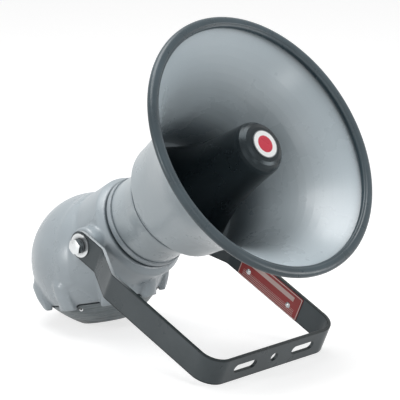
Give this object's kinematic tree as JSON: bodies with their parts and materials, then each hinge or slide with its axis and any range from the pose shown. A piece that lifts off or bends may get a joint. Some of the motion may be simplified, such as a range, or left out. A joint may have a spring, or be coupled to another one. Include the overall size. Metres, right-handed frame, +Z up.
{
  "type": "folded horn loudspeaker",
  "caption": "Explosion-proof folded horn loudspeaker: round flared horn with a black nose cone, domed cast housing with threaded cover, on a U bracket.",
  "frame": {"origin": "centre of the bounding box's base; the base plane touches the cover's rear lower edge and the bracket's lower edge, as it stands in the picture", "axes": "+Z up, horn mouth faces -Y and tilts up 33.4 degrees, X along the pivot bolts"},
  "size_m": [0.25, 0.339, 0.307],
  "materials": {
    "bracket_paint": "satin dark grey paint",
    "red_plate": "plain dark red enamel",
    "bright_metal": "plain",
    "bright_zinc": "zinc plated",
    "housing_paint": "satin blue-grey paint on a casting",
    "cover_metal": "dark grey, turned",
    "seal_rubber": "matt",
    "plug_metal": "cast",
    "horn_paint": "satin blue-grey paint",
    "trim_rubber": "slate, satin",
    "black_shell": "black, semi-gloss",
    "badge_white": "white with a plain red dot",
    "arrestor_metal": "sintered",
    "plate_steel": "turned",
    "dark_plastic": "matt",
    "coil_copper": "wound",
    "magnet_grey": "ground",
    "core_steel": "varnished",
    "brass_screw": "plain"
  },
  "bodies": {
    "bracket": {"bracket": "bracket_paint", "label_plate": "red_plate", "label_rivets": "bright_metal"},
    "head": {"pivot_bolts": "bright_zinc", "lock_washers": "bright_zinc", "flat_washers": "bright_zinc", "housing": "housing_paint", "conduit_plug": "plug_metal", "horn_base": "housing_paint", "horn_screws": "bright_zinc", "horn_neck": "horn_paint", "horn_bell": "horn_paint", "mouth_trim": "trim_rubber", "nose_cone": "black_shell", "nose_badge": "badge_white", "throat_tube": "black_shell", "nose_spider": "black_shell", "flame_arrestor": "arrestor_metal", "arrestor_ring": "bright_zinc", "driver_cap": "plate_steel", "phase_plug": "dark_plastic", "top_plate": "plate_steel", "magnet": "magnet_grey", "yoke": "plate_steel", "driver_screws": "bright_zinc", "transformer": "core_steel", "terminal_block": "dark_plastic", "ground_screw": "brass_screw"},
    "cover": {"housing_cover": "cover_metal", "cover_seal": "seal_rubber", "cover_lock_screw": "bright_zinc"},
    "motor": {"diaphragm": "dark_plastic", "voice_coil": "coil_copper"}
  },
  "joints": [
    {"name": "bracket_pivot", "type": "hinge", "parent": "bracket", "child": "head", "pos_m": [0, 0.06467, 0.09417], "axis": [-1, 0, 0], "range_deg": [-14, 90]},
    {"name": "cover_turn", "type": "hinge", "parent": "head", "child": "cover", "pos_m": [0, 0.09833, 0.02447], "axis": [0, 0.2317, 0.9728], "continuous": true},
    {"name": "diaphragm_travel", "type": "slide", "parent": "head", "child": "motor", "axis": [0, -0.8348, 0.5505], "range_m": [-0.0003, 0.0003], "stiffness_N_per_m": 4000}
  ]
}
